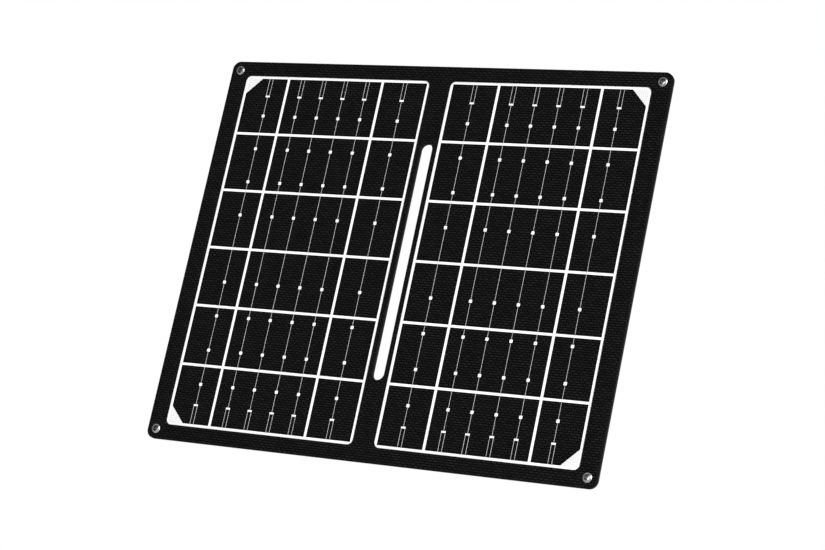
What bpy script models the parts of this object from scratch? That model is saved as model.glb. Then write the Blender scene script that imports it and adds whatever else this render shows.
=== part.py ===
"""A folding solar panel: two stiff leaves of solar cells joined by a flexible spine.

Units are metres and +Z is up. The panel hangs upright in the XZ plane and faces -Y. The origin is at the
middle of the overall box in X and Y, and at the lower edge in Z. Depth is measured from the front face
towards the back. Each leaf is a laminate: front film, cells, white backsheet, core board and back cover.
"""

import math

import bmesh
import bpy

# Overall size
PANEL_WIDTH = 0.320
PANEL_HEIGHT = 0.262
CORNER_RADIUS = 0.0055

# Laminate, by thickness, from the front
FILM_THICKNESS = 0.0004
CELL_THICKNESS = 0.00025
BACKSHEET_THICKNESS = 0.00035
CORE_THICKNESS = 0.0023
COVER_THICKNESS = 0.0009
LAYER_GAP = 0.00005

# Spine and its slot
CREASE_X = 0.0059
CREASE_GAP = 0.0003
SLOT_WIDTH = 0.0088
SLOT_LENGTH = 0.157

# Cell field of one leaf, from the leaf's free edge towards the spine
FIELD_TO_CENTRE = 0.0076
FIELD_BORDER = 0.0020
FIELD_BORDER_ENDS = 0.0018
FIELD_CORNER_RADIUS = 0.0038
COLUMN_WIDTHS = {"outer": 0.0303, "wide": 0.0698, "inner": 0.0319}
COLUMN_GAP = 0.0019
ROWS = 6
ROW_HEIGHT = 0.03835
ROW_GAP = 0.0017
CELL_CHAMFER = 0.0108
POCKET_CLEARANCE = 0.00015

# Eyelets and the patches under them
EYELET_INSET = 0.0063
EYELET_HOLE_RADIUS = 0.0017
EYELET_BARREL_RADIUS = 0.0020
EYELET_FLANGE_RADIUS = 0.0031
EYELET_FLANGE_HEIGHT = 0.00055
EYELET_ROLL_RADIUS = 0.0027
EYELET_CLEARANCE = 0.0002
EYELET_STEPS = 24
PATCH_SIZE = 0.0124
PATCH_GAP = 0.0003

# Output box on the back of the left leaf
BOX_WIDTH = 0.058
BOX_HEIGHT = 0.036
BOX_DEPTH = 0.0100
BOX_WALL = 0.0016
BOX_FLOOR = 0.0012
BOX_CORNER_RADIUS = 0.004
BOX_BOTTOM_Z = 0.040
BOX_SEAT_GAP = 0.0001
LID_THICKNESS = 0.0018
LID_EDGE_BEVEL = 0.0006
BOARD_WIDTH = 0.052
BOARD_HEIGHT = 0.027
BOARD_THICKNESS = 0.0016
BOARD_STANDOFF = 0.0012
SOCKET_WIDTH = 0.0131
SOCKET_DEPTH = 0.0057
SOCKET_LENGTH = 0.0140
SOCKET_WALL = 0.0003
SOCKET_CAVITY = 0.0090
SOCKET_PITCH = 0.0220
SOCKET_RECESS = 0.0003
WINDOW_CLEARANCE = 0.0003

ARC_STEPS = 8
CIRCLE_STEPS = 24

# Worked out from the sizes above
FIELD_WIDTH = 2 * FIELD_BORDER + sum(COLUMN_WIDTHS.values()) + 2 * COLUMN_GAP
FIELD_HEIGHT = 2 * FIELD_BORDER_ENDS + ROWS * ROW_HEIGHT + (ROWS - 1) * ROW_GAP
FIELD_BOTTOM = (PANEL_HEIGHT - FIELD_HEIGHT) / 2
CELL_FRONT = FILM_THICKNESS + LAYER_GAP
BACKSHEET_FRONT = CELL_FRONT + CELL_THICKNESS + LAYER_GAP
POCKET_FLOOR = BACKSHEET_FRONT + BACKSHEET_THICKNESS + LAYER_GAP
CORE_FRONT = CELL_FRONT
COVER_FRONT = CORE_FRONT + CORE_THICKNESS + LAYER_GAP
PANEL_THICKNESS = COVER_FRONT + COVER_THICKNESS
BOX_FRONT = PANEL_THICKNESS + BOX_SEAT_GAP
LID_FRONT = BOX_FRONT + BOX_DEPTH + LAYER_GAP
OVERALL_DEPTH = EYELET_FLANGE_HEIGHT + LID_FRONT + LID_THICKNESS
FRONT_Y = EYELET_FLANGE_HEIGHT - OVERALL_DEPTH / 2
LEAF_EDGE_X = CREASE_X + CREASE_GAP / 2
BOX_CENTRE_X = -(CREASE_X + PANEL_WIDTH / 2) / 2

MATERIALS = {
    "front_film": ((0.012, 0.012, 0.013), 0.45, 0.0),
    "cell": ((0.010, 0.010, 0.012), 0.35, 0.0),
    "backsheet": ((0.90, 0.90, 0.90), 0.55, 0.0),
    "core_board": ((0.035, 0.035, 0.036), 0.60, 0.0),
    "back_cover": ((0.020, 0.020, 0.021), 0.80, 0.0),
    "eyelet": ((0.62, 0.62, 0.63), 0.25, 1.0),
    "box_shell": ((0.018, 0.018, 0.019), 0.50, 0.0),
    "regulator_board": ((0.02, 0.10, 0.04), 0.45, 0.0),
    "usb_socket": ((0.70, 0.70, 0.71), 0.30, 1.0),
}


def clear_scene():
    for obj in list(bpy.data.objects):
        bpy.data.objects.remove(obj)


def make_collection(name):
    collection = bpy.data.collections.new(name)
    bpy.context.scene.collection.children.link(collection)
    return collection


def make_material(name):
    colour, roughness, metallic = MATERIALS[name]
    material = bpy.data.materials.new(name)
    material.use_nodes = True
    shader = material.node_tree.nodes["Principled BSDF"]
    shader.inputs["Base Color"].default_value = (*colour, 1.0)
    shader.inputs["Roughness"].default_value = roughness
    shader.inputs["Metallic"].default_value = metallic
    return material


def make_body(name, x):
    """An empty on the body's crease, at the front face. Every piece of the body is its child."""
    empty = bpy.data.objects.new(name, None)
    empty.location = (x, FRONT_Y, 0)
    empty.empty_display_size = 0.02
    parts.objects.link(empty)
    return empty


# Outlines, as lists of (x, z) points


def arc(centre_x, centre_z, radius, start, end, steps=ARC_STEPS):
    """Points on an arc between two angles in degrees, counter-clockwise when end is above start."""
    angles = [math.radians(start + (end - start) * i / steps) for i in range(steps + 1)]
    return [(centre_x + radius * math.cos(a), centre_z + radius * math.sin(a)) for a in angles]


def rounded_rectangle(x0, x1, z0, z1, radii):
    """A rectangle whose corners are rounded by radii: lower left, lower right, upper right, upper left."""
    corners = [(x0, z0, 1, 1, 180), (x1, z0, -1, 1, 270), (x1, z1, -1, -1, 0), (x0, z1, 1, -1, 90)]
    points = []
    for (x, z, inward_x, inward_z, start), radius in zip(corners, radii):
        if radius:
            points += arc(x + inward_x * radius, z + inward_z * radius, radius, start, start + 90)
        else:
            points.append((x, z))
    return points


def circle(centre_x, centre_z, radius):
    return arc(centre_x, centre_z, radius, 0, 360, CIRCLE_STEPS)[:-1]


def round_ended_slot(width, length, centre_z):
    radius = width / 2
    reach = length / 2 - radius
    return arc(0, centre_z + reach, radius, 0, 180) + arc(0, centre_z - reach, radius, 180, 360)


def mirrored(points, side):
    """An outline drawn for the right leaf, on the given side: 1 is right and -1 is left."""
    return points if side > 0 else [(-x, z) for x, z in reversed(points)]


def eyelet_places(side):
    """The eyelets of one leaf, as (end, x, z)."""
    x = side * (PANEL_WIDTH / 2 - EYELET_INSET)
    return [("top", x, PANEL_HEIGHT - EYELET_INSET), ("bottom", x, EYELET_INSET)]


# Making pieces


def add_piece(obj, material, body):
    obj.data.materials.append(materials[material])
    obj.parent = bodies[body]
    obj.location = obj.location - bodies[body].location
    parts.objects.link(obj)
    return obj


def flat_curve(name, loops, front, thickness):
    """An upright flat sheet from one outline and any holes in it, between two depths."""
    curve = bpy.data.curves.new(name, "CURVE")
    curve.dimensions = "2D"
    curve.fill_mode = "BOTH"
    curve.extrude = thickness / 2
    for points in loops:
        spline = curve.splines.new("POLY")
        spline.points.add(len(points) - 1)
        for point, (x, z) in zip(spline.points, points):
            point.co = (x, z, 0, 1)
        spline.use_cyclic_u = True
    obj = bpy.data.objects.new(name, curve)
    obj.location = (0, FRONT_Y + front + thickness / 2, 0)
    obj.rotation_euler = (math.pi / 2, 0, 0)
    return obj


def sheet(name, loops, front, thickness, material, body):
    return add_piece(flat_curve(name, loops, front, thickness), material, body)


def mesh_plate(name, loops, front, thickness):
    """The same sheet as a closed mesh, for a piece that is cut or bevelled, or that cuts."""
    outline = flat_curve(name, loops, front, thickness)
    cutters.objects.link(outline)
    bpy.context.view_layer.update()
    graph = bpy.context.evaluated_depsgraph_get()
    mesh = bpy.data.meshes.new_from_object(outline.evaluated_get(graph))
    place, turn = outline.location.copy(), outline.rotation_euler.copy()
    bpy.data.objects.remove(outline)
    work = bmesh.new()
    work.from_mesh(mesh)
    bmesh.ops.remove_doubles(work, verts=work.verts, dist=1e-6)
    bmesh.ops.recalc_face_normals(work, faces=work.faces)
    work.to_mesh(mesh)
    work.free()
    mesh.materials.clear()
    obj = bpy.data.objects.new(name, mesh)
    obj.location = place
    obj.rotation_euler = turn
    return obj


def box_mesh(name, x0, x1, front, back, z0, z1):
    """A box between two depths, with its own size in its mesh."""
    bpy.ops.mesh.primitive_cube_add(size=1)
    obj = bpy.context.object
    obj.name = name
    obj.data.name = name
    for holder in list(obj.users_collection):
        holder.objects.unlink(obj)
    for vertex in obj.data.vertices:
        vertex.co = (vertex.co.x * (x1 - x0), vertex.co.y * (back - front), vertex.co.z * (z1 - z0))
    obj.location = ((x0 + x1) / 2, FRONT_Y + (front + back) / 2, (z0 + z1) / 2)
    return obj


def cut(obj, cutter):
    """Takes the cutter out of a piece, and keeps the cutter as a hidden wire."""
    cutters.objects.link(cutter)
    cutter.hide_render = True
    cutter.display_type = "WIRE"
    modifier = obj.modifiers.new("cut_" + cutter.name, "BOOLEAN")
    modifier.operation = "DIFFERENCE"
    modifier.solver = "EXACT"
    modifier.object = cutter


# The laminate


def leaf_outline(side):
    """The outline of the film and the cover of one leaf, rounded at its two free corners."""
    radii = (0, CORNER_RADIUS, CORNER_RADIUS, 0)
    return mirrored(rounded_rectangle(LEAF_EDGE_X, PANEL_WIDTH / 2, 0, PANEL_HEIGHT, radii), side)


def field_outline(side, grow):
    x0 = FIELD_TO_CENTRE - grow
    x1 = FIELD_TO_CENTRE + FIELD_WIDTH + grow
    z0 = FIELD_BOTTOM - grow
    z1 = FIELD_BOTTOM + FIELD_HEIGHT + grow
    return mirrored(rounded_rectangle(x0, x1, z0, z1, [FIELD_CORNER_RADIUS + grow] * 4), side)


def core_outline(side):
    """The core board of one leaf, with a round-cornered notch for the patch at each free corner."""
    notch = PATCH_SIZE + PATCH_GAP
    edge = PANEL_WIDTH / 2
    centre_x = edge - EYELET_INSET
    radius = notch - EYELET_INSET
    lower = arc(centre_x, EYELET_INSET, radius, 180, 90)
    upper = arc(centre_x, PANEL_HEIGHT - EYELET_INSET, radius, 270, 180)
    points = [(LEAF_EDGE_X, 0), (edge - notch, 0), *lower, (edge, notch)]
    points += [(edge, PANEL_HEIGHT - notch), *upper, (edge - notch, PANEL_HEIGHT), (LEAF_EDGE_X, PANEL_HEIGHT)]
    return mirrored(points, side)


def make_leaf_layers(name, side):
    body = name + "_leaf"
    hole_radius = EYELET_BARREL_RADIUS + EYELET_CLEARANCE
    holes = [circle(x, z, hole_radius) for _, x, z in eyelet_places(side)]
    sheet("front_film_" + name, [leaf_outline(side), *holes], 0, FILM_THICKNESS, "front_film", body)
    backsheet = [field_outline(side, 0)]
    sheet("backsheet_" + name, backsheet, BACKSHEET_FRONT, BACKSHEET_THICKNESS, "backsheet", body)
    cover = [leaf_outline(side), *holes]
    sheet("back_cover_" + name, cover, COVER_FRONT, COVER_THICKNESS, "back_cover", body)

    core = mesh_plate("core_board_" + name, [core_outline(side)], CORE_FRONT, CORE_THICKNESS)
    add_piece(core, "core_board", body)
    overcut = LAYER_GAP
    pocket_outline = field_outline(side, POCKET_CLEARANCE)
    depth = POCKET_FLOOR - CORE_FRONT + overcut
    cut(core, mesh_plate("pocket_cutter_" + name, [pocket_outline], CORE_FRONT - overcut, depth))


def make_spine():
    half = CREASE_X - CREASE_GAP / 2
    outline = [(-half, 0), (half, 0), (half, PANEL_HEIGHT), (-half, PANEL_HEIGHT)]
    loops = [outline, round_ended_slot(SLOT_WIDTH, SLOT_LENGTH, PANEL_HEIGHT / 2)]
    sheet("front_film_spine", loops, 0, FILM_THICKNESS, "front_film", "spine")
    sheet("spine_core", loops, CORE_FRONT, CORE_THICKNESS, "core_board", "spine")
    sheet("back_cover_spine", loops, COVER_FRONT, COVER_THICKNESS, "back_cover", "spine")


def cell_columns():
    """Each column of a leaf as (name, x0, x1), for the right leaf."""
    columns = []
    x = FIELD_TO_CENTRE + FIELD_BORDER
    for name in ("inner", "wide", "outer"):
        columns.append((name, x, x + COLUMN_WIDTHS[name]))
        x += COLUMN_WIDTHS[name] + COLUMN_GAP
    return columns


def cell_outline(x0, x1, z0, z1, chamfer_top, chamfer_bottom):
    """A cell of the right leaf. A chamfer takes off its corner at the leaf's free edge."""
    points = [(x0, z0)]
    if chamfer_bottom:
        points += [(x1 - CELL_CHAMFER, z0), (x1, z0 + CELL_CHAMFER)]
    else:
        points.append((x1, z0))
    if chamfer_top:
        points += [(x1, z1 - CELL_CHAMFER), (x1 - CELL_CHAMFER, z1)]
    else:
        points.append((x1, z1))
    return [*points, (x0, z1)]


def make_cells(name, side):
    """Rows are counted from the top."""
    top = FIELD_BOTTOM + FIELD_HEIGHT - FIELD_BORDER_ENDS
    for row in range(ROWS):
        z1 = top - row * (ROW_HEIGHT + ROW_GAP)
        z0 = z1 - ROW_HEIGHT
        for column, x0, x1 in cell_columns():
            outer = column == "outer"
            outline = cell_outline(x0, x1, z0, z1, outer and row == 0, outer and row == ROWS - 1)
            cell_name = f"cell_{name}_row{row + 1}_{column}"
            loops = [mirrored(outline, side)]
            sheet(cell_name, loops, CELL_FRONT, CELL_THICKNESS, "cell", name + "_leaf")


# Eyelets and patches


def eyelet_profile():
    """(radius, height above the front face) down the outer side and up the inner one.

    The flange has a flat rim on top. The barrel's far end is rolled over the back cover.
    """
    rim = EYELET_FLANGE_HEIGHT
    edge = EYELET_FLANGE_RADIUS
    barrel = EYELET_BARREL_RADIUS
    hole = EYELET_HOLE_RADIUS
    roll = EYELET_ROLL_RADIUS
    back = -PANEL_THICKNESS - LAYER_GAP
    flange = [(edge - 0.0004, rim), (edge - 0.0001, rim * 0.78), (edge, rim * 0.4), (edge, LAYER_GAP)]
    rolled_end = [(roll, back), (roll, back - 0.0003), (roll - 0.0004, back - 0.0005)]
    rolled_end += [(hole + 0.0003, back - 0.0005), (hole, back - 0.0002)]
    mouth = [(hole, rim * 0.3), (hole + 0.0001, rim * 0.75), (hole + 0.0004, rim)]
    return [*flange, (barrel, LAYER_GAP), (barrel, back), *rolled_end, *mouth]


def make_eyelet_mesh():
    mesh = bpy.data.meshes.new("eyelet")
    work = bmesh.new()
    points = [work.verts.new((radius, 0, height)) for radius, height in eyelet_profile()]
    for first, second in zip(points, points[1:] + points[:1]):
        work.edges.new((first, second))
    work.to_mesh(mesh)
    work.free()
    mesh.materials.append(materials["eyelet"])
    return mesh


def make_eyelets(name, side, mesh):
    for end, x, z in eyelet_places(side):
        eyelet = bpy.data.objects.new(f"eyelet_{end}_{name}", mesh)
        eyelet.parent = bodies[name + "_leaf"]
        eyelet.location = (x - eyelet.parent.location.x, 0, z)
        eyelet.rotation_euler = (math.pi / 2, 0, 0)
        parts.objects.link(eyelet)
        turn = eyelet.modifiers.new("turn", "SCREW")
        turn.steps = turn.render_steps = EYELET_STEPS
        turn.use_merge_vertices = True
        turn.merge_threshold = 1e-6
        turn.use_smooth_shade = True


def make_patches(name, side):
    """A patch has the panel's rounded corner outside, and an inner corner centred on the eyelet."""
    edge = PANEL_WIDTH / 2
    inner = PATCH_SIZE - EYELET_INSET
    spans = {
        "bottom": ((0, PATCH_SIZE), (0, CORNER_RADIUS, 0, inner)),
        "top": ((PANEL_HEIGHT - PATCH_SIZE, PANEL_HEIGHT), (inner, 0, CORNER_RADIUS, 0)),
    }
    for end, x, z in eyelet_places(side):
        (z0, z1), radii = spans[end]
        outline = mirrored(rounded_rectangle(edge - PATCH_SIZE, edge, z0, z1, radii), side)
        loops = [outline, circle(x, z, EYELET_BARREL_RADIUS + EYELET_CLEARANCE)]
        patch_name = f"corner_patch_{end}_{name}"
        sheet(patch_name, loops, CORE_FRONT, CORE_THICKNESS, "core_board", name + "_leaf")


# The output box


def box_outline(inset):
    half = BOX_WIDTH / 2 - inset
    x0, x1 = BOX_CENTRE_X - half, BOX_CENTRE_X + half
    z0, z1 = BOX_BOTTOM_Z + inset, BOX_BOTTOM_Z + BOX_HEIGHT - inset
    return rounded_rectangle(x0, x1, z0, z1, [BOX_CORNER_RADIUS - inset] * 4)


def make_housing(socket_front):
    """A tray whose floor sits on the back cover, open at the back, with a window for each socket."""
    housing = mesh_plate("output_box_housing", [box_outline(0)], BOX_FRONT, BOX_DEPTH)
    add_piece(housing, "box_shell", "left_leaf")
    hollow_front = BOX_FRONT + BOX_FLOOR
    cut(housing, mesh_plate("hollow_cutter", [box_outline(BOX_WALL)], hollow_front, BOX_DEPTH))
    half = SOCKET_WIDTH / 2 + WINDOW_CLEARANCE
    front = socket_front - WINDOW_CLEARANCE
    back = socket_front + SOCKET_DEPTH + WINDOW_CLEARANCE
    for letter, x in socket_places():
        z0, z1 = BOX_BOTTOM_Z - BOX_WALL, BOX_BOTTOM_Z + 2 * BOX_WALL
        cut(housing, box_mesh("window_cutter_" + letter, x - half, x + half, front, back, z0, z1))


def make_lid():
    lid = mesh_plate("output_box_lid", [box_outline(0)], LID_FRONT, LID_THICKNESS)
    add_piece(lid, "box_shell", "left_leaf")
    bevel = lid.modifiers.new("soft_edge", "BEVEL")
    bevel.width = LID_EDGE_BEVEL
    bevel.segments = 2
    bevel.limit_method = "ANGLE"
    bevel.angle_limit = math.radians(60)


def socket_places():
    return [("a", BOX_CENTRE_X - SOCKET_PITCH / 2), ("b", BOX_CENTRE_X + SOCKET_PITCH / 2)]


def make_sockets(socket_front):
    """Each socket is a metal shell with its mouth facing down."""
    z0 = BOX_BOTTOM_Z + SOCKET_RECESS
    z1 = z0 + SOCKET_LENGTH
    half = SOCKET_WIDTH / 2
    back = socket_front + SOCKET_DEPTH
    for letter, x in socket_places():
        socket = box_mesh("usb_socket_" + letter, x - half, x + half, socket_front, back, z0, z1)
        add_piece(socket, "usb_socket", "left_leaf")
        inner = half - SOCKET_WALL
        front_in, back_in = socket_front + SOCKET_WALL, back - SOCKET_WALL
        low, high = z0 - SOCKET_WALL, z0 + SOCKET_CAVITY
        cut(socket, box_mesh("cavity_cutter_" + letter, x - inner, x + inner, front_in, back_in, low, high))


def make_output_box():
    board_front = BOX_FRONT + BOX_FLOOR + BOARD_STANDOFF
    socket_front = board_front + BOARD_THICKNESS + LAYER_GAP
    make_housing(socket_front)
    make_lid()
    half = BOARD_WIDTH / 2
    z1 = BOX_BOTTOM_Z + BOX_HEIGHT - 2 * BOX_WALL
    board_back = board_front + BOARD_THICKNESS
    x0, x1 = BOX_CENTRE_X - half, BOX_CENTRE_X + half
    board = box_mesh("regulator_board", x0, x1, board_front, board_back, z1 - BOARD_HEIGHT, z1)
    add_piece(board, "regulator_board", "left_leaf")
    make_sockets(socket_front)


clear_scene()
parts = make_collection("folding_solar_panel")
cutters = make_collection("cutters")
materials = {name: make_material(name) for name in MATERIALS}
bodies = {
    "left_leaf": make_body("left_leaf", -CREASE_X),
    "spine": make_body("spine", -CREASE_X),
    "right_leaf": make_body("right_leaf", CREASE_X),
}
eyelet_mesh = make_eyelet_mesh()
for leaf, leaf_side in (("left", -1), ("right", 1)):
    make_leaf_layers(leaf, leaf_side)
    make_cells(leaf, leaf_side)
    make_patches(leaf, leaf_side)
    make_eyelets(leaf, leaf_side, eyelet_mesh)
make_spine()
make_output_box()
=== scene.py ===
"""Visual model of a folding solar panel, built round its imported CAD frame.

Units are metres and +Z is up. The panel hangs upright in the XZ plane and faces -Y. Depth is measured from
the front face towards the back.
"""

import math

import bmesh
import bpy
from mathutils import Matrix, Vector


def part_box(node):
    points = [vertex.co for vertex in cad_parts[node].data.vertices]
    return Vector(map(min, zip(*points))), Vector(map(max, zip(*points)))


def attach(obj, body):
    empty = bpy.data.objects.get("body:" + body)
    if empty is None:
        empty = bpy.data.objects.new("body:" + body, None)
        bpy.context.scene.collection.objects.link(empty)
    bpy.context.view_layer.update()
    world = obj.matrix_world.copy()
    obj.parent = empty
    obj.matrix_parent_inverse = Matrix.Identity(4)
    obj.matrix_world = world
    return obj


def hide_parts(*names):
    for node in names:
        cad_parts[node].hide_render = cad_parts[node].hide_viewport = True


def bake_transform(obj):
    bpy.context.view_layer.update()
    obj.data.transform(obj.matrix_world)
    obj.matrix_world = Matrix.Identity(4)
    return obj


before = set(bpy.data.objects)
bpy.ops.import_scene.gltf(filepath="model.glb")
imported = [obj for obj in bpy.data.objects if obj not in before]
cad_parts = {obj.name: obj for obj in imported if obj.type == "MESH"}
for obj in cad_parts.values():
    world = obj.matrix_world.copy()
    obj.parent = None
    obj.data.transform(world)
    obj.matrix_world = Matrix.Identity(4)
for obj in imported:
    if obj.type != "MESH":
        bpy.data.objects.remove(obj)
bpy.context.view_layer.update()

MM = 0.001
LEAVES = (("left", -1), ("right", 1))

# Sizes that the CAD nodes give
FILM_LOW, FILM_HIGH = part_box("front_film_right")
COVER_LOW, COVER_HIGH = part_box("back_cover_right")
SHEET_LOW, SHEET_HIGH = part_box("backsheet_right")
CELL_LOW, CELL_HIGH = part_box("cell_right_row1_outer")
FRONT_Y = FILM_LOW[1]
HALF_WIDTH = FILM_HIGH[0]
HEIGHT = FILM_HIGH[2]
MIDDLE_Z = HEIGHT / 2
FILM = FILM_HIGH[1] - FILM_LOW[1]
COVER_FRONT = COVER_LOW[1] - FRONT_Y
THICKNESS = COVER_HIGH[1] - FRONT_Y
CELL_FRONT = CELL_LOW[1] - FRONT_Y
LEAF_EDGE_X = FILM_LOW[0]
CREASE_HALF_GAP = 0.15 * MM
CREASE_X = LEAF_EDGE_X - CREASE_HALF_GAP

# Outlines
CORNER_RADIUS = 5.5 * MM
FIELD_CORNER_RADIUS = 3.8 * MM
SLOT_RADIUS = 4.4 * MM
SLOT_REACH = 78.5 * MM - SLOT_RADIUS
EYELET_INSET = 6.3 * MM
EYELET_OPENING = 2.2 * MM
BORE_RADIUS = 1.90 * MM
CELL_CHAMFER = 10.8 * MM
SKIN_BEVEL = 0.12 * MM
SKIN_SMOOTH = 20.0
ARC_STEPS = 16
SLOT_STEPS = 24
TURNED_STEPS = 40
EYELET_STEPS = 56

# Bending zones beside each crease: (start, end) as distances from the spine's middle
FRONT_BEND = (7.3 * MM, 4.7 * MM)
BACK_BEND = (9.4 * MM, 4.6 * MM)
BEND_STEPS = 12

# Relief of the back, as the near and far edge and the margin above and below
BACK_STEP = 0.28 * MM
BACK_FIELD = (13.5 * MM, 148.5 * MM, 11.5 * MM)
BACK_FIELD_RADIUS = 7.0 * MM
BACK_PAD_RADIUS = 5.0 * MM
BACK_ROOT = 0.15 * MM
BACK_PAD_BEVEL = 0.12 * MM

# Front metal. Lifts and thicknesses are towards the viewer
RIBBON_WIDTH = 0.23 * MM
RIBBON_HALF_LENGTH = 106.7 * MM
LEG_OFFSET = 1.3 * MM
LEG_END = 119.6 * MM
CROSSBAR = (3.0 * MM, 1.2 * MM)
PAD_SIZE = 2.05 * MM
PAD_PITCH = 23.2 * MM
WIDE_RIBBON_OFFSETS = (-24.75 * MM, -8.25 * MM, 8.25 * MM, 24.75 * MM)
OUTER_RIBBON_INSET = 12.7 * MM
METAL_LIFT = 0.01 * MM
RIBBON_THICKNESS = 0.09 * MM
RIBBON_EASE = 0.03 * MM
CROSSBAR_THICKNESS = 0.16 * MM
CROSSBAR_EASE = 0.05 * MM
PAD_THICKNESS = 0.13 * MM
PAD_MIDDLE = (0.17 * MM, 0.12 * MM)
PADS_EACH_WAY = 4

# White sheet round the cells: gaps beside them, and depths below their faces
GRID_GAP = 0.03 * MM
GRID_DEPTH = 0.11 * MM
GRID_BEVEL = 0.03 * MM
INFILL_GAP = 0.06 * MM
INFILL_DEPTH = 0.02 * MM
SHEET_CLEARANCE = 0.01 * MM

# Sealing strips
BAND_PROUD = 0.10 * MM
BAND_LIFT = 0.02 * MM
BAND_ROOT = 0.25 * MM
BAND_CLEARANCE = 0.02 * MM
BAND_STEPS = 6
BAND_START = 0.1 * MM
SPINE_BAND_SHORT = 0.25 * MM

# Output box details
SCREW_INSET = 5.0 * MM
SCREW_RADIUS = 1.7 * MM
SCREW_HEIGHT = 0.7 * MM
RECESS_ARM = 1.0 * MM
RECESS_WIDTH = 0.26 * MM
LENS_HEIGHT = 7.5 * MM
LENS_RADIUS = 1.5 * MM
LENS_RISE = 0.6 * MM
LENS_SUNK = 0.1 * MM
LENS_STEPS = 8
TONGUE_HALF_WIDTH = 5.3 * MM
TONGUE_DEPTHS = (0.75 * MM, 2.6 * MM)
TONGUE_ENDS = (0.6 * MM, 8.6 * MM)
CONTACT_HALF_WIDTH = 0.5 * MM
CONTACT_DEPTHS = (0.01 * MM, 0.13 * MM)

# Surface patterns, in metres
DASH_LENGTH = 0.0036
DASH_PITCH = 0.00160
DASH_GROOVE = 0.00068
THREAD_PITCH = 0.0011
TRACK_LENGTH = 0.0045
TRACK_PITCH = 0.0016
TRACK_WIDTH = 0.00025


# Materials


def links(tree, target, value):
    """Sets an input to a constant, or links it to a socket."""
    if isinstance(value, bpy.types.NodeSocket):
        tree.links.new(value, target)
    else:
        target.default_value = value


def node(tree, kind, settings=None, **inputs):
    """Adds a node. Inputs are given by name, with _ for a space, or as i0, i1 for a numbered input."""
    made = tree.nodes.new("ShaderNode" + kind)
    for name, value in (settings or {}).items():
        setattr(made, name, value)
    for name, value in inputs.items():
        numbered = name[0] == "i" and name[1:].isdigit()
        links(tree, made.inputs[int(name[1:]) if numbered else name.replace("_", " ")], value)
    return made


def maths(tree, operation, first, second=0.5):
    return node(tree, "Math", {"operation": operation}, i0=first, i1=second).outputs[0]


def new_material(name, roughness, metallic=0.0, specular=0.5, coat=0.0, coat_roughness=0.2):
    material = bpy.data.materials.new(name)
    material.use_nodes = True
    tree = material.node_tree
    shader = tree.nodes["Principled BSDF"]
    shader.inputs["Roughness"].default_value = roughness
    shader.inputs["Metallic"].default_value = metallic
    shader.inputs["Specular IOR Level"].default_value = specular
    shader.inputs["Coat Weight"].default_value = coat
    shader.inputs["Coat Roughness"].default_value = coat_roughness
    return material, tree, shader


def scaled(tree, value, factor, offset):
    """value * factor + offset."""
    return node(tree, "Math", {"operation": "MULTIPLY_ADD"}, i0=value, i1=factor, i2=offset).outputs[0]


def rest_place(tree, stored):
    """A surface point's place with the panel open: stored with a mesh that bends, or the object's own."""
    if stored:
        return node(tree, "Attribute", {"attribute_name": "rest_place"}).outputs["Vector"]
    return node(tree, "TexCoord").outputs["Object"]


def flat_place(tree, place, scale_x, scale_z):
    """A flat vector that runs over the face, in steps per metre along X and Z."""
    split = node(tree, "SeparateXYZ", Vector=place)
    across = maths(tree, "MULTIPLY", split.outputs["X"], scale_x)
    up = maths(tree, "MULTIPLY", split.outputs["Z"], scale_z)
    return node(tree, "CombineXYZ", X=across, Y=up).outputs["Vector"]


def noise(tree, place, scale, detail=2.0, roughness=0.5):
    made = node(tree, "TexNoise", Vector=place, Scale=scale, Detail=detail, Roughness=roughness)
    return made.outputs["Fac"]


def dots(tree, place, scale, randomness):
    """The distance from a grid of dots over the face, in steps of the grid."""
    flat = flat_place(tree, place, 1.0, 1.0)
    made = node(
        tree, "TexVoronoi", {"voronoi_dimensions": "2D"}, Vector=flat, Scale=scale, Randomness=randomness)
    return made.outputs["Distance"]


def ramp(tree, fac, stops):
    made = node(tree, "ValToRGB", Fac=fac)
    elements = made.color_ramp.elements
    while len(elements) < len(stops):
        elements.new(0.5)
    for element, (position, colour) in zip(elements, stops):
        element.position = position
        element.color = (*colour, 1.0) if isinstance(colour, tuple) else (colour, colour, colour, 1.0)
    return made.outputs["Color"]


def mix(tree, fac, first, second):
    made = node(tree, "Mix", {"data_type": "RGBA"})
    links(tree, made.inputs[0], fac)
    for socket, value in ((made.inputs[6], first), (made.inputs[7], second)):
        if isinstance(value, tuple):
            value = (*value, 1.0)
        elif isinstance(value, float):
            value = (value, value, value, 1.0)
        links(tree, socket, value)
    return made.outputs[2]


def bump(tree, shader, height, distance, strength=1.0, beneath=None):
    made = node(tree, "Bump", Height=height, Distance=distance, Strength=strength)
    if beneath is not None:
        tree.links.new(beneath, made.inputs["Normal"])
    tree.links.new(made.outputs["Normal"], shader.inputs["Normal"])
    return made.outputs["Normal"]


def dashes(tree, place):
    """The embossed pattern of the front laminate: short raised bars across, set like bricks.

    Returns the grooves between the bars and a chance value for each bar.
    """
    flat = flat_place(tree, place, 1.0, 1.0)
    brick = node(
        tree,
        "TexBrick",
        {"offset": 0.5, "offset_frequency": 2, "squash": 1.0},
        Vector=flat,
        Color1=(0.0, 0.0, 0.0, 1.0),
        Color2=(1.0, 1.0, 1.0, 1.0),
        Mortar=(0.5, 0.5, 0.5, 1.0),
        Scale=1.0,
        Mortar_Size=DASH_GROOVE,
        Mortar_Smooth=1.0,
        Brick_Width=DASH_LENGTH,
        Row_Height=DASH_PITCH,
    )
    return brick.outputs["Fac"], brick.outputs["Color"]


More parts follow.
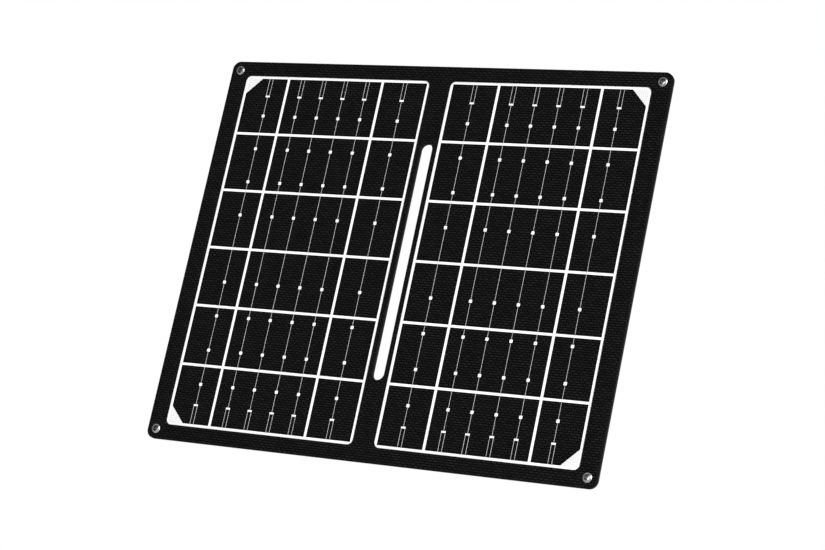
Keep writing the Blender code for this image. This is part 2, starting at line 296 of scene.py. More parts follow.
def laminate(name, stored, roughness):
    """Black laminate: embossed dashes whose grooves are darkened with painted shade, slow tone variation and
    a few fine fibres.
    """
    material, tree, shader = new_material(name, roughness, specular=LAMINATE_SPECULAR)
    place = rest_place(tree, stored)
    groove, chance = dashes(tree, place)
    slow = noise(tree, place, 38.0, 3.0)
    grain = noise(tree, place, 1900.0, 2.0)
    dark, light = LAMINATE_BLACK
    tone = mix(tree, chance, dark, light)
    tone = mix(tree, maths(tree, "MULTIPLY", slow, 0.3), tone, dark)
    # Painted shade: the grooves between the raised dashes are darkened nearly to black. This stands in for
    # the shade in the grooves and the sheen of the bars.
    tone = mix(tree, groove, tone, tuple(c * 0.06 for c in dark))
    speck = ramp(tree, grain, [(0.60, 0.0), (0.75, 0.35)])
    tone = mix(tree, speck, tone, tuple(c * 2.2 for c in light))
    tree.links.new(tone, shader.inputs["Base Color"])
    raised = maths(tree, "SUBTRACT", 1.0, groove)
    gloss = scaled(tree, slow, 0.16, roughness - 0.08)
    tree.links.new(gloss, shader.inputs["Roughness"])
    fine = bump(tree, shader, grain, 0.00002, 0.5)
    bump(tree, shader, raised, 0.00008, 0.9, fine)
    return material


def make_backsheet():
    material, tree, shader = new_material("backsheet_white", 0.42, specular=0.35)
    place = rest_place(tree, False)
    dimple = dots(tree, place, 900.0, 0.35)
    slow = noise(tree, place, 60.0, 3.0)
    tone = mix(tree, slow, (0.90, 0.90, 0.90), (0.94, 0.94, 0.94))
    # Painted shade: the white sheet is made slightly darker at the bottom of each dimple.
    tone = mix(tree, ramp(tree, dimple, [(0.0, 0.10), (0.4, 0.0)]), tone, (0.82, 0.82, 0.83))
    tree.links.new(tone, shader.inputs["Base Color"])
    bump(tree, shader, dimple, 0.00003, 0.5)
    return material


def make_infill():
    """The bare corner of the field: white sheet under the embossed film, with its grid of dots."""
    material, tree, shader = new_material("corner_infill", 0.60, specular=0.12)
    place = rest_place(tree, False)
    dot = dots(tree, place, 760.0, 0.15)
    slow = noise(tree, place, 240.0, 3.0)
    tone = mix(tree, ramp(tree, dot, [(0.18, 0.9), (0.42, 0.0)]), (0.77, 0.77, 0.77), (0.52, 0.52, 0.53))
    tone = mix(tree, maths(tree, "MULTIPLY", slow, 0.2), tone, (0.62, 0.62, 0.63))
    tree.links.new(tone, shader.inputs["Base Color"])
    bump(tree, shader, dot, 0.00005, 0.6)
    return material


def make_tin(name, light, dark, roughness, streak):
    """Tinned copper: satin, with fine streaks along its length."""
    material, tree, shader = new_material(name, roughness, specular=0.9)
    place = rest_place(tree, False)
    streaks = noise(tree, flat_place(tree, place, 5200.0, streak), 1.0, 2.0)
    grain = noise(tree, place, 1500.0, 3.0)
    tone = mix(tree, streaks, dark, light)
    tone = mix(tree, ramp(tree, grain, [(0.55, 0.0), (0.8, 0.5)]), tone, dark)
    tree.links.new(tone, shader.inputs["Base Color"])
    bump(tree, shader, streaks, 0.00002, 0.6)
    return material


def make_core():
    """The board's cut edge: dark fibre-filled sheet with faint plies."""
    material, tree, shader = new_material("core_edge", 0.62, specular=0.3)
    place = rest_place(tree, False)
    split = node(tree, "SeparateXYZ", Vector=place)
    plies = maths(tree, "SINE", maths(tree, "MULTIPLY", split.outputs["Y"], 9500.0))
    grain = noise(tree, place, 1400.0, 4.0, 0.65)
    tone = mix(tree, grain, (0.026, 0.026, 0.027), (0.052, 0.052, 0.053))
    tone = mix(tree, scaled(tree, plies, 0.10, 0.5), tone, (0.018, 0.018, 0.018))
    tree.links.new(tone, shader.inputs["Base Color"])
    bump(tree, shader, grain, 0.00006, 0.6)
    return material


def make_edge_band():
    """Sealing strip round the laminate's edge: matt black rubber with a slight ripple, and painted shade
    darkening its front part just behind the film.
    """
    material, tree, shader = new_material("edge_band", 0.62, specular=0.02)
    place = rest_place(tree, False)
    grain = noise(tree, place, 1100.0, 3.0, 0.6)
    ripple = noise(tree, place, 160.0, 2.0)
    tone = mix(tree, ripple, (0.0085, 0.0085, 0.0087), (0.0150, 0.0150, 0.0153))
    tone = mix(tree, ramp(tree, grain, [(0.58, 0.0), (0.8, 0.4)]), tone, (0.028, 0.028, 0.029))
    # Painted shade: the front part of the strip, just behind the film, is darkened nearly to black.
    split = node(tree, "SeparateXYZ", Vector=place)
    depth = maths(tree, "SUBTRACT", split.outputs["Y"], FRONT_Y)
    painted_shade_behind_film = ramp(tree, maths(tree, "DIVIDE", depth, THICKNESS), [(0.22, 1.0), (0.40, 0.0)])
    tone = mix(tree, painted_shade_behind_film, tone, (0.0010, 0.0010, 0.0010))
    tree.links.new(tone, shader.inputs["Base Color"])
    fine = bump(tree, shader, grain, 0.00003, 0.5)
    bump(tree, shader, ripple, 0.0002, 0.3, fine)
    return material


def make_fabric():
    """Black Oxford cloth: pairs of threads over and under, with painted shade where the weave dips and
    painted highlights along the threads.
    """
    material, tree, shader = new_material("back_fabric", 0.74, specular=0.18)
    shader.inputs["Sheen Weight"].default_value = 0.04
    shader.inputs["Sheen Roughness"].default_value = 0.45
    place = rest_place(tree, True)
    turns = 2 * math.pi / THREAD_PITCH
    split = node(tree, "SeparateXYZ", Vector=place)
    warp = maths(tree, "SINE", maths(tree, "MULTIPLY", split.outputs["X"], turns))
    weft = maths(tree, "SINE", maths(tree, "MULTIPLY", split.outputs["Z"], turns))
    weave = maths(tree, "MULTIPLY", warp, weft)
    over = scaled(tree, weave, 0.5, 0.5)
    across = noise(tree, flat_place(tree, place, 260.0, 3400.0), 1.0, 2.0)
    along = noise(tree, flat_place(tree, place, 3400.0, 260.0), 1.0, 2.0)
    thread = mix(tree, over, across, along)
    slow = noise(tree, place, 26.0, 3.0)
    # Painted shade: where the weave dips the cloth is darker than where a thread lies on top.
    tone = mix(tree, over, (0.0070, 0.0070, 0.0074), (0.0190, 0.0190, 0.0198))
    # Painted highlights: streaks along the threads are lightened.
    tone = mix(tree, maths(tree, "MULTIPLY", thread, 0.5), tone, (0.036, 0.036, 0.038))
    tone = mix(tree, maths(tree, "MULTIPLY", slow, 0.4), tone, (0.011, 0.011, 0.0116))
    tree.links.new(tone, shader.inputs["Base Color"])
    fine = bump(tree, shader, thread, 0.00006, 0.6)
    relief = maths(tree, "ABSOLUTE", weave)
    bump(tree, shader, relief, 0.00016, 0.8, fine)
    return material


def make_metal(name, tint, roughness, scale, worn):
    """Bright plated metal: fine turning marks, soft patches and small scratches."""
    material, tree, shader = new_material(name, roughness, metallic=1.0)
    place = rest_place(tree, False)
    patches = noise(tree, place, scale, 4.0, 0.6)
    squeezed = node(tree, "Mapping", Vector=place, Scale=(300.0, 6000.0, 300.0)).outputs[0]
    marks = noise(tree, squeezed, 1.0, 3.0)
    tone = mix(tree, patches, tint, tuple(c * worn for c in tint))
    tree.links.new(tone, shader.inputs["Base Color"])
    gloss = scaled(tree, patches, 0.22, roughness - 0.08)
    tree.links.new(gloss, shader.inputs["Roughness"])
    fine = bump(tree, shader, marks, 0.00001, 0.35)
    bump(tree, shader, patches, 0.00004, 0.25, fine)
    return material


def make_plastic(name, dark, light, roughness):
    """Moulded plastic with a spark-eroded grain."""
    material, tree, shader = new_material(name, roughness, specular=0.45)
    place = rest_place(tree, False)
    grain = noise(tree, place, 2100.0, 4.0, 0.6)
    pits = node(tree, "TexVoronoi", Vector=place, Scale=1500.0).outputs["Distance"]
    slow = noise(tree, place, 45.0, 2.0)
    tone = mix(tree, slow, dark, light)
    tone = mix(tree, ramp(tree, grain, [(0.5, 0.0), (0.8, 0.4)]), tone, tuple(c * 1.9 for c in light))
    tree.links.new(tone, shader.inputs["Base Color"])
    gloss = scaled(tree, grain, 0.2, roughness - 0.1)
    tree.links.new(gloss, shader.inputs["Roughness"])
    fine = bump(tree, shader, grain, 0.00004, 0.5)
    bump(tree, shader, pits, 0.00005, 0.45, fine)
    return material


def make_circuit():
    """Solder mask over copper tracks."""
    material, tree, shader = new_material("regulator_board", 0.35, coat=0.4)
    place = rest_place(tree, False)
    flat = flat_place(tree, place, 1.0, 1.0)
    brick = node(
        tree,
        "TexBrick",
        {"offset": 0.3},
        Vector=flat,
        Scale=1.0,
        Mortar_Size=TRACK_WIDTH,
        Brick_Width=TRACK_LENGTH,
        Row_Height=TRACK_PITCH,
    )
    tracks = brick.outputs["Fac"]
    grain = noise(tree, place, 900.0, 3.0)
    tone = mix(tree, grain, (0.010, 0.060, 0.026), (0.018, 0.095, 0.040))
    tone = mix(tree, maths(tree, "MULTIPLY", tracks, 0.6), tone, (0.05, 0.19, 0.07))
    tree.links.new(tone, shader.inputs["Base Color"])
    bump(tree, shader, tracks, 0.00004, 0.6)
    return material


LAMINATE_SPECULAR = 0.02
LAMINATE_BLACK = ((0.0072, 0.0072, 0.0073), (0.0146, 0.0146, 0.0148))
materials = {
    "skin": laminate("front_laminate", True, 0.62),
    "cell": laminate("solar_cell", False, 0.58),
    "backsheet": make_backsheet(),
    "infill": make_infill(),
    "ribbon": make_tin("tinned_ribbon", (0.62, 0.62, 0.63), (0.42, 0.42, 0.44), 0.34, 90.0),
    "solder": make_tin("solder_pad", (0.97, 0.97, 0.97), (0.86, 0.86, 0.87), 0.40, 900.0),
    "core": make_core(),
    "band": make_edge_band(),
    "fabric": make_fabric(),
    "eyelet": make_metal("eyelet_nickel", (0.64, 0.64, 0.65), 0.24, 700.0, 0.70),
    # Painted shade: near-black metal for the inside of the eyelet barrels, where the hole is in shade.
    "bore_painted_shade": make_metal("eyelet_bore_painted_shade", (0.05, 0.05, 0.05), 0.42, 700.0, 0.60),
    "socket": make_metal("socket_steel", (0.66, 0.66, 0.67), 0.30, 420.0, 0.80),
    "screw": make_metal("screw_black_zinc", (0.16, 0.16, 0.17), 0.34, 900.0, 0.6),
    "gold": make_metal("contact_gold", (0.83, 0.62, 0.28), 0.26, 800.0, 0.85),
    "plastic": make_plastic("box_plastic", (0.011, 0.011, 0.012), (0.020, 0.020, 0.021), 0.50),
    "tongue": make_plastic("socket_tongue", (0.60, 0.60, 0.59), (0.72, 0.72, 0.70), 0.42),
    "lens": make_plastic("light_lens", (0.16, 0.19, 0.17), (0.22, 0.25, 0.23), 0.22),
    "circuit": make_circuit(),
}


# Making pieces


def arc(centre_x, centre_z, radius, start, end, steps=ARC_STEPS):
    angles = [math.radians(start + (end - start) * i / steps) for i in range(steps + 1)]
    return [(centre_x + radius * math.cos(a), centre_z + radius * math.sin(a)) for a in angles]


def rounded_rectangle(x0, x1, z0, z1, radius, steps=ARC_STEPS):
    places = [(x0, z0, 1, 1, 180), (x1, z0, -1, 1, 270), (x1, z1, -1, -1, 0), (x0, z1, 1, -1, 90)]
    return [
        point
        for x, z, in_x, in_z, start in places
        for point in arc(x + in_x * radius, z + in_z * radius, radius, start, start + 90, steps)
    ]


def circle(centre_x, centre_z, radius, steps=48):
    return arc(centre_x, centre_z, radius, 0, 360, steps)[:-1]


def slot_outline():
    radius = SLOT_RADIUS
    high, low = MIDDLE_Z + SLOT_REACH, MIDDLE_Z - SLOT_REACH
    return arc(0, high, radius, 0, 180, SLOT_STEPS) + arc(0, low, radius, 180, 360, SLOT_STEPS)


def eyelet_places():
    """(name, side, x, z) of each eyelet."""
    for leaf, side in LEAVES:
        for end, z in (("top", HEIGHT - EYELET_INSET), ("bottom", EYELET_INSET)):
            yield f"{end}_{leaf}", side, side * (HALF_WIDTH - EYELET_INSET), z


def plate_mesh(loops, front, thickness, bevel):
    """A closed upright plate from an outline and its holes, with a small round on every edge."""
    curve = bpy.data.curves.new("outline", "CURVE")
    curve.dimensions = "2D"
    curve.fill_mode = "BOTH"
    curve.extrude = thickness / 2 - bevel
    curve.bevel_depth = bevel
    curve.bevel_resolution = 2
    curve.offset = -bevel
    for points in loops:
        spline = curve.splines.new("POLY")
        spline.points.add(len(points) - 1)
        for point, (x, z) in zip(spline.points, points):
            point.co = (x, z, 0, 1)
        spline.use_cyclic_u = True
    holder = bpy.data.objects.new("outline", curve)
    bpy.context.scene.collection.objects.link(holder)
    bpy.context.view_layer.update()
    graph = bpy.context.evaluated_depsgraph_get()
    mesh = bpy.data.meshes.new_from_object(holder.evaluated_get(graph))
    bpy.data.objects.remove(holder)
    bpy.data.curves.remove(curve)
    turn = Matrix.Rotation(math.pi / 2, 4, "X")
    mesh.transform(Matrix.Translation((0, FRONT_Y + front + thickness / 2, 0)) @ turn)
    work = bmesh.new()
    work.from_mesh(mesh)
    bpy.data.meshes.remove(mesh)
    bmesh.ops.remove_doubles(work, verts=work.verts, dist=2e-6)
    bmesh.ops.recalc_face_normals(work, faces=work.faces)
    return work


def bisect(work, x, clear=0):
    """Cuts the mesh at an upright plane, and drops what is on one side of it if clear is -1 or 1."""
    geometry = work.verts[:] + work.edges[:] + work.faces[:]
    bmesh.ops.bisect_plane(
        work, geom=geometry, dist=1e-7, plane_co=(x, 0, 0), plane_no=(1, 0, 0),
        clear_inner=clear < 0, clear_outer=clear > 0,
    )
    if clear:
        rims = [edge for edge in work.edges if edge.is_boundary]
        bmesh.ops.holes_fill(work, edges=rims, sides=0)


def finish_mesh(name, work, material, smooth_angle=40.0):
    """An object from a bmesh, with the place at rest stored on its points for the materials."""
    bmesh.ops.recalc_face_normals(work, faces=work.faces)
    mesh = bpy.data.meshes.new(name)
    work.to_mesh(mesh)
    work.free()
    mesh.shade_smooth()
    mesh.set_sharp_from_angle(angle=math.radians(smooth_angle))
    place = mesh.attributes.new("rest_place", "FLOAT_VECTOR", "POINT")
    place.data.foreach_set("vector", [value for vertex in mesh.vertices for value in vertex.co])
    mesh.materials.append(materials[material])
    obj = bpy.data.objects.new(name, mesh)
    bpy.context.scene.collection.objects.link(obj)
    return obj


def place_piece(obj, body):
    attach(obj, body)


def join_rings(work, here, there):
    """Adds the faces between two closed rings of equally many points."""
    for i in range(len(here)):
        j = (i + 1) % len(here)
        work.faces.new((here[i], here[j], there[j], there[i]))


def prism(work, outline, front, back):
    """Adds a closed prism between two depths. The outline is a list of (x, z)."""
    near = [work.verts.new((x, FRONT_Y + front, z)) for x, z in outline]
    far = [work.verts.new((x, FRONT_Y + back, z)) for x, z in outline]
    work.faces.new(near)
    work.faces.new(far[::-1])
    for i in range(len(outline)):
        j = (i + 1) % len(outline)
        work.faces.new((near[i], far[i], far[j], near[j]))


def block(work, x0, x1, z0, z1, front, back, round_off=0.0):
    """Adds a block whose front and back edges are eased."""
    ease = min(round_off, (x1 - x0) / 3, (z1 - z0) / 3, (back - front) / 3)
    corners = [(x0, z0), (x1, z0), (x1, z1), (x0, z1)]
    centre = Vector(((x0 + x1) / 2, (z0 + z1) / 2))
    rings = [(front, ease), (front + ease, 0.0), (back - ease, 0.0), (back, ease)] if ease else [
        (front, 0.0), (back, 0.0)]
    levels = []
    for depth, inset in rings:
        level = []
        for x, z in corners:
            to_x = inset if x < centre.x else -inset
            to_z = inset if z < centre.y else -inset
            level.append(work.verts.new((x + to_x, FRONT_Y + depth, z + to_z)))
        levels.append(level)
    work.faces.new(levels[0])
    work.faces.new(levels[-1][::-1])
    for first, second in zip(levels, levels[1:]):
        for i in range(4):
            j = (i + 1) % 4
            work.faces.new((first[i], second[i], second[j], first[j]))


def band(name, path, closed, front, back, side, body):
    """A sealing strip along an edge: a shallow rounded ridge on the edge's outer side.

    path is a list of (x, z) on the edge, and side says which way is out: 1 is to its right as it runs.
    """
    section = []
    for i in range(BAND_STEPS + 1):
        angle = math.pi * i / BAND_STEPS
        depth = (front + back) / 2 - math.cos(angle) * (back - front) / 2
        section.append((depth, BAND_LIFT + BAND_PROUD * math.sin(angle) ** 0.5))
    section += [(back, -BAND_ROOT), (front, -BAND_ROOT)]
    count = len(path)
    work = bmesh.new()
    rings = []
    for i, (x, z) in enumerate(path):
        before = path[i - 1] if closed or i else path[0]
        after = path[(i + 1) % count] if closed or i < count - 1 else path[-1]
        along = Vector((after[0] - before[0], after[1] - before[1])).normalized()
        first = Vector((x - before[0], z - before[1]))
        last = Vector((after[0] - x, after[1] - z))
        spread = 1.0
        if first.length > 0 and last.length > 0:
            spread = 1 / max(0.5, math.cos(first.angle(last) / 2))
        out = Vector((along.y, -along.x)) * side
        rings.append([
            work.verts.new((x + out.x * r * spread, FRONT_Y + depth, z + out.y * r * spread))
            for depth, r in section
        ])
    spans = list(zip(rings, rings[1:])) + ([(rings[-1], rings[0])] if closed else [])
    for here, there in spans:
        join_rings(work, here, there)
    if not closed:
        work.faces.new(rings[0])
        work.faces.new(rings[-1][::-1])
    place_piece(finish_mesh(name, work, "band", 35.0), body)


def lathe(work, profile, centre_x, centre_z):
    """Adds a ring turned about an axis along Y. The profile is a closed loop of (radius, depth)."""
    rings = []
    for i in range(EYELET_STEPS):
        angle = 2 * math.pi * i / EYELET_STEPS
        rings.append([
            work.verts.new((centre_x + r * math.cos(angle), FRONT_Y + depth, centre_z + r * math.sin(angle)))
            for r, depth in profile
        ])
    for i, ring in enumerate(rings):
        join_rings(work, ring, rings[(i + 1) % EYELET_STEPS])


def turned_rings(work, levels, x, z):
    """Adds a turned surface about an axis along Y, and returns its rings, one for each (radius, depth)."""
    angles = [2 * math.pi * i / TURNED_STEPS for i in range(TURNED_STEPS)]
    rings = [
        [work.verts.new((x + r * math.cos(a), FRONT_Y + depth, z + r * math.sin(a))) for a in angles]
        for r, depth in levels
    ]
    for here, there in zip(rings, rings[1:]):
        join_rings(work, here, there)
    work.faces.new(rings[0])
    return rings


# Front and back skins, each in two halves, with extra cuts beside their crease


def outline_of_panel():
    return rounded_rectangle(-HALF_WIDTH, HALF_WIDTH, 0, HEIGHT, CORNER_RADIUS)


def field_outline(side):
    x0, x1 = sorted((side * SHEET_LOW[0], side * SHEET_HIGH[0]))
    return rounded_rectangle(x0, x1, SHEET_LOW[2], SHEET_HIGH[2], FIELD_CORNER_RADIUS)


def make_skins(name, loops, front, thickness, bend, material, node_name):
    whole = plate_mesh(loops, front, thickness, SKIN_BEVEL)
    for side in (-1, 1):
        for i in range(BEND_STEPS + 1):
            bisect(whole, side * (bend[1] + (bend[0] - bend[1]) * i / BEND_STEPS))
    for leaf, side in LEAVES:
        half = whole.copy()
        bisect(half, 0.0, -side)
        skin = finish_mesh(f"{name}_{leaf}", half, material, SKIN_SMOOTH)
        if side < 0:
            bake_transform(skin)
        else:
            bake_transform(skin)
        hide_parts(f"{node_name}_{leaf}", f"{node_name}_spine")
    whole.free()


def make_all_skins():
    holes = [circle(x, z, EYELET_OPENING) for _, _, x, z in eyelet_places()]
    fields = [field_outline(side) for _, side in LEAVES]
    front = [outline_of_panel(), slot_outline(), *fields, *holes]
    make_skins("front_skin", front, 0.0, FILM, FRONT_BEND, "skin", "front_film")
    back = [outline_of_panel(), slot_outline(), *holes]
    thickness = THICKNESS - BACK_STEP - COVER_FRONT
    make_skins("back_skin", back, COVER_FRONT, thickness, BACK_BEND, "fabric", "back_cover")


def make_back_relief(leaf, side):
    """Where the boards and the corner patches press through the back cloth: a low step with a soft edge."""
    x0, x1 = sorted((side * BACK_FIELD[0], side * BACK_FIELD[1]))
    front, thickness = THICKNESS - BACK_STEP - BACK_ROOT, BACK_STEP + BACK_ROOT
    outline = rounded_rectangle(x0, x1, BACK_FIELD[2], HEIGHT - BACK_FIELD[2], BACK_FIELD_RADIUS)
    field = plate_mesh([outline], front, thickness, BACK_STEP * 0.7)
    piece = finish_mesh(f"back_field_{leaf}", field, "fabric", SKIN_SMOOTH)
    place_piece(piece, f"{leaf}_leaf")
    for name, place_side, x, z in eyelet_places():
        if place_side != side:
            continue
        loops = [circle(x, z, BACK_PAD_RADIUS), circle(x, z, EYELET_OPENING)]
        pad = plate_mesh(loops, front, thickness, BACK_PAD_BEVEL)
        piece = finish_mesh(f"back_pad_{name}", pad, "fabric", SKIN_SMOOTH)
        place_piece(piece, f"{leaf}_leaf")


# Ribbons, pads and forks over the cells


def ribbon_places(side):
    """The x of each ribbon of one leaf."""
    low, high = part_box("cell_right_row1_inner")
    wide_low, wide_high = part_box("cell_right_row1_wide")
    wide_centre = (wide_low[0] + wide_high[0]) / 2
    places = [(low[0] + high[0]) / 2]
    places += [wide_centre + offset for offset in WIDE_RIBBON_OFFSETS]
    places.append(CELL_LOW[0] + OUTER_RIBBON_INSET)
    return [side * x for x in places]


def make_pad(pads, x, z, top):
    """Adds a solder pad with rounded corners and a raised middle."""
    size = PAD_SIZE / 2
    middle = size * 0.8
    outline = rounded_rectangle(x - size, x + size, z - size, z + size, size * 0.36, 4)
    inner = rounded_rectangle(x - middle, x + middle, z - middle, z + middle, size * 0.3, 4)
    prism(pads, outline, top - PAD_THICKNESS, top)
    prism(pads, inner, top - PAD_MIDDLE[0], top - PAD_MIDDLE[1])


def make_front_metal(leaf, side):
    top = CELL_FRONT - METAL_LIFT
    ribbons, pads = bmesh.new(), bmesh.new()
    half = RIBBON_WIDTH / 2
    bar_x, bar_z = CROSSBAR[0] / 2, CROSSBAR[1] / 2
    low, high = MIDDLE_Z - RIBBON_HALF_LENGTH, MIDDLE_Z + RIBBON_HALF_LENGTH

    def strip(x, z0, z1):
        block(ribbons, x - half, x + half, z0, z1, top - RIBBON_THICKNESS, top, RIBBON_EASE)

    for x in ribbon_places(side):
        strip(x, low, high)
        for end in (-1, 1):
            z = MIDDLE_Z + end * RIBBON_HALF_LENGTH
            front = top - CROSSBAR_THICKNESS
            block(pads, x - bar_x, x + bar_x, z - bar_z, z + bar_z, front, top, CROSSBAR_EASE)
            z0, z1 = sorted((z, MIDDLE_Z + end * LEG_END))
            for leg in (x - LEG_OFFSET, x + LEG_OFFSET):
                strip(leg, z0, z1)
            for step in range(1, PADS_EACH_WAY + 1):
                make_pad(pads, x, MIDDLE_Z + end * step * PAD_PITCH, top)
    place_piece(finish_mesh(f"cell_ribbons_{leaf}", ribbons, "ribbon"), f"{leaf}_leaf")
    place_piece(finish_mesh(f"solder_pads_{leaf}", pads, "solder"), f"{leaf}_leaf")


def make_grid(leaf, side):
    """The white sheet where laminating brings it up round the cells, a little below their faces."""
    gap = GRID_GAP
    front = CELL_FRONT + GRID_DEPTH
    holes = []
    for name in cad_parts:
        if name.startswith(f"cell_{leaf}_"):
            low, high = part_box(name)
            x0, x1, z0, z1 = low[0] - gap, high[0] + gap, low[2] - gap, high[2] + gap
            holes.append([(x0, z0), (x1, z0), (x1, z1), (x0, z1)])
    back = SHEET_LOW[1] - FRONT_Y - SHEET_CLEARANCE
    grid = plate_mesh([field_outline(side), *holes], front, back - front, GRID_BEVEL)
    place_piece(finish_mesh(f"field_grid_{leaf}", grid, "backsheet"), f"{leaf}_leaf")


def make_infills(leaf, side):
    """The white sheet's bare corners, just below the cells' faces."""
    edge = CELL_HIGH[0]
    legs = CELL_CHAMFER - INFILL_GAP
    low, high = SHEET_LOW[2] + (SHEET_HIGH[2] - CELL_HIGH[2]), CELL_HIGH[2]
    for end, corner_z, up in (("top", high, -1), ("bottom", low, 1)):
        work = bmesh.new()
        points = [
            (side * edge, corner_z),
            (side * edge, corner_z + up * legs),
            (side * (edge - legs), corner_z),
        ]
        prism(work, points, CELL_FRONT + INFILL_DEPTH, SHEET_LOW[1] - FRONT_Y - SHEET_CLEARANCE)
        piece = finish_mesh(f"corner_infill_{end}_{leaf}", work, "infill")
        place_piece(piece, f"{leaf}_leaf")


# Eyelets


def eyelet_profile():
    """(radius, depth) in millimetres, round the section: flange, rolled lip, barrel and rolled back end."""
    back = THICKNESS / MM
    flange = [(1.70, 0.35), (1.72, -0.15), (1.80, -0.40), (1.95, -0.53), (2.12, -0.54), (2.27, -0.46),
              (2.38, -0.33), (2.48, -0.32), (2.60, -0.40), (2.76, -0.43), (2.92, -0.35), (3.04, -0.18),
              (3.10, -0.04), (3.02, -0.005), (2.15, -0.005), (2.02, 0.10)]
    barrel = [(2.00, back - 0.2), (2.05, back + 0.02)]
    roll = [(2.50, back + 0.03), (2.68, back + 0.12), (2.70, back + 0.28), (2.58, back + 0.44),
            (2.38, back + 0.53), (2.18, back + 0.53), (2.00, back + 0.46), (1.84, back + 0.30),
            (1.74, back + 0.05), (1.70, back - 0.40)]
    return [(radius * MM, depth * MM) for radius, depth in flange + barrel + roll]


def make_eyelets():
    for name, side, x, z in eyelet_places():
        work = bmesh.new()
        lathe(work, eyelet_profile(), x, z)
        piece = finish_mesh(f"eyelet_ring_{name}", work, "eyelet", 60.0)
        # The faces inside the barrel take the near-black bore metal, as painted shade in the hole.
        piece.data.materials.append(materials["bore_painted_shade"])
        for face in piece.data.polygons:
            out = math.hypot(face.center.x - x, face.center.z - z)
            depth = face.center.y - FRONT_Y
            face.material_index = int(out < BORE_RADIUS and depth < THICKNESS)
        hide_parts(f"eyelet_{name}")
        place_piece(piece, "left_leaf" if side < 0 else "right_leaf")


# Edges


def make_edges():
    front, back = FILM + BAND_CLEARANCE, COVER_FRONT - BAND_CLEARANCE
    for leaf, side in LEAVES:
        lower = arc(HALF_WIDTH - CORNER_RADIUS, CORNER_RADIUS, CORNER_RADIUS, 270, 360)
        upper = arc(HALF_WIDTH - CORNER_RADIUS, HEIGHT - CORNER_RADIUS, CORNER_RADIUS, 0, 90)
        start = LEAF_EDGE_X + BAND_START
        path = [(start, 0), *lower, *upper, (start, HEIGHT)]
        path = [(side * x, z) for x, z in path]
        band(f"edge_band_{leaf}", path, False, front, back, side, f"{leaf}_leaf")
    half = CREASE_X - SPINE_BAND_SHORT
    band("edge_band_spine_top", [(half, HEIGHT), (-half, HEIGHT)], False, front, back, 1, "spine")
    band("edge_band_spine_bottom", [(-half, 0), (half, 0)], False, front, back, 1, "spine")
    band("edge_band_slot", slot_outline(), True, front, back, -1, "spine")


# Output box details


def make_box_details():
    low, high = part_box("output_box_lid")
    back = high[1] - FRONT_Y
    x0, x1 = low[0] + SCREW_INSET, high[0] - SCREW_INSET
    z0, z1 = low[2] + SCREW_INSET, high[2] - SCREW_INSET
    for number, (x, z) in enumerate([(x0, z0), (x1, z0), (x1, z1), (x0, z1)], 1):
        make_screw(f"lid_screw_{number}", x, z, back)
    make_lens((low[0] + high[0]) / 2, low[2] + LENS_HEIGHT, back)
    for letter in "ab":
        make_tongue(letter)


def make_screw(name, x, z, back):
    """A pan head with a cross recess."""
    radius, height = SCREW_RADIUS, SCREW_HEIGHT
    arm, width = RECESS_ARM, RECESS_WIDTH
    work = bmesh.new()
    levels = [(radius, back), (radius, back + height * 0.45), (radius * 0.86, back + height * 0.82),
              (radius * 0.62, back + height)]
    rings = turned_rings(work, levels, x, z)
    cross = [(width, width), (width, arm), (-width, arm), (-width, width), (-arm, width), (-arm, -width),
             (-width, -width), (-width, -arm), (width, -arm), (width, -width), (arm, -width), (arm, width)]
    top = [work.verts.new((x + a, FRONT_Y + back + height, z + b)) for a, b in cross]
    floor_y = FRONT_Y + back + height * 0.35
    floor = [work.verts.new((x + a * 0.75, floor_y, z + b * 0.75)) for a, b in cross]
    join_rings(work, top, floor)
    work.faces.new(floor)
    rim = []
    for loop in (rings[-1], top):
        rim += [work.edges.get((loop[i], loop[(i + 1) % len(loop)])) for i in range(len(loop))]
    bmesh.ops.triangle_fill(work, use_beauty=True, edges=rim)
    place_piece(finish_mesh(name, work, "screw"), "left_leaf")


def make_lens(x, z, back):
    """The small domed window of the charging light."""
    work = bmesh.new()
    angles = [math.pi / 2 * i / LENS_STEPS for i in range(LENS_STEPS)]
    profile = [(LENS_RADIUS * math.cos(a), back - LENS_SUNK + LENS_RISE * math.sin(a)) for a in angles]
    rings = turned_rings(work, profile, x, z)
    work.faces.new(rings[-1])
    place_piece(finish_mesh("light_lens", work, "lens"), "left_leaf")


def make_tongue(letter):
    """The insulating tongue of a USB-A socket and its four contacts."""
    low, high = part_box(f"usb_socket_{letter}")
    centre = (low[0] + high[0]) / 2
    front = low[1] - FRONT_Y
    tongue_front, tongue_back = (front + depth for depth in TONGUE_DEPTHS)
    mouth, end = (low[2] + z for z in TONGUE_ENDS)
    x0, x1 = centre - TONGUE_HALF_WIDTH, centre + TONGUE_HALF_WIDTH
    tongue = bmesh.new()
    block(tongue, x0, x1, mouth, end, tongue_front, tongue_back, 0.2 * MM)
    place_piece(finish_mesh(f"socket_tongue_{letter}", tongue, "tongue"), "left_leaf")
    contacts = bmesh.new()
    top = end - 0.2 * MM
    near, far = (tongue_back + depth for depth in CONTACT_DEPTHS)
    for offset, length in ((-3.5, 7.4), (-1.0, 6.6), (1.0, 6.6), (3.5, 7.4)):
        x = centre + offset * MM
        x0, x1 = x - CONTACT_HALF_WIDTH, x + CONTACT_HALF_WIDTH
        block(contacts, x0, x1, top - length * MM, top, near, far, 0.04 * MM)
    place_piece(finish_mesh(f"socket_contacts_{letter}", contacts, "gold"), "left_leaf")


# Finishes of the CAD nodes that stay in view


def dress_nodes():
    finishes = {
        "cell_": "cell",
        "backsheet_": "backsheet",
        "core_board_": "core",
        "spine_core": "core",
        "corner_patch_": "core",
        "output_box_": "plastic",
        "regulator_board": "circuit",
        "usb_socket_": "socket",
    }
    for name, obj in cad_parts.items():
        for start, finish in finishes.items():
            if name.startswith(start):
                for holder in obj.material_slots:
                    holder.material = materials[finish]


# Stage


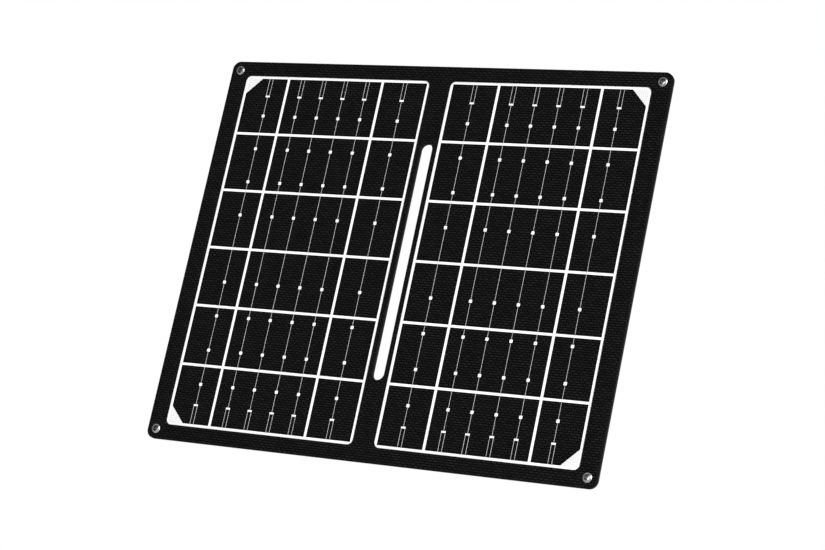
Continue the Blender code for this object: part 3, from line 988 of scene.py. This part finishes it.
FLOOR_Z = -0.30
CAMERA_PLACE = Vector((0.7439, -1.2869, -0.2449))
CAMERA_FORWARD = Vector((-0.4831, 0.8417, 0.2412))
CAMERA_UP = Vector((-0.0636, -0.3085, 0.9491))
CAMERA_LENS = 105.93


def make_floor():
    """A round pale floor that thins out towards its rim, so that it meets the backdrop without a line."""
    bpy.ops.mesh.primitive_circle_add(vertices=96, radius=4.0, fill_type="NGON", location=(0, 0, FLOOR_Z))
    floor = bpy.context.object
    floor.name = "floor"
    material, tree, shader = new_material("pale_floor", 0.85, specular=0.2)
    shader.inputs["Base Color"].default_value = (0.86, 0.86, 0.86, 1.0)
    place = node(tree, "TexCoord").outputs["Object"]
    distance = node(tree, "VectorMath", {"operation": "LENGTH"}, i0=place).outputs["Value"]
    faded = ramp(tree, maths(tree, "DIVIDE", distance, 4.0), [(0.12, 1.0), (0.55, 0.0)])
    tree.links.new(faded, shader.inputs["Alpha"])
    floor.data.materials.append(material)


def make_light(name, place, aim, size, power):
    data = bpy.data.lights.new(name, "AREA")
    data.shape = "SQUARE"
    data.size = size
    data.energy = power
    light = bpy.data.objects.new(name, data)
    light.location = place
    light.rotation_mode = "QUATERNION"
    light.rotation_quaternion = (Vector(aim) - Vector(place)).to_track_quat("-Z", "Y")
    bpy.context.scene.collection.objects.link(light)


def make_world():
    """Plain white backdrop, with much less of it falling on the panel as light."""
    world = bpy.data.worlds.new("studio")
    world.use_nodes = True
    tree = world.node_tree
    tree.nodes.clear()
    seen = node(tree, "Background", Color=(1.0, 1.0, 1.0, 1.0), Strength=1.0)
    fill = node(tree, "Background", Color=(1.0, 1.0, 1.0, 1.0), Strength=0.22)
    rays = node(tree, "LightPath")
    mixed = node(tree, "MixShader", Fac=rays.outputs["Is Camera Ray"], i1=fill.outputs[0], i2=seen.outputs[0])
    output = node(tree, "OutputWorld")
    tree.links.new(mixed.outputs[0], output.inputs["Surface"])
    bpy.context.scene.world = world


def make_camera():
    data = bpy.data.cameras.new("camera")
    data.lens = CAMERA_LENS
    data.sensor_width = 36.0
    camera = bpy.data.objects.new("camera", data)
    back = -CAMERA_FORWARD.normalized()
    right = CAMERA_UP.cross(back).normalized()
    up = back.cross(right)
    turn = Matrix((right, up, back)).transposed().to_4x4()
    camera.matrix_world = Matrix.Translation(CAMERA_PLACE) @ turn
    data.clip_start = 0.01
    data.clip_end = 100.0
    bpy.context.scene.collection.objects.link(camera)
    bpy.context.scene.camera = camera


def make_stage():
    make_world()
    make_floor()
    aim = (0.0, 0.0, MIDDLE_Z)
    make_light("key", (7.8, -6.9, 5.4), aim, 6.2, 1540.0)
    make_light("low_right", (7.0, -4.6, -0.25), aim, 4.0, 400.0)
    make_light("back", (-0.9, 1.7, 1.2), aim, 1.3, 48.0)
    make_light("back_right", (1.4, 1.3, 0.3), aim, 1.0, 22.0)
    make_camera()
    bpy.context.scene.view_settings.view_transform = "Standard"


dress_nodes()
make_all_skins()
for leaf_name, leaf_side in LEAVES:
    make_front_metal(leaf_name, leaf_side)
    make_grid(leaf_name, leaf_side)
    make_infills(leaf_name, leaf_side)
    make_back_relief(leaf_name, leaf_side)
make_eyelets()
make_edges()
make_box_details()
make_stage()
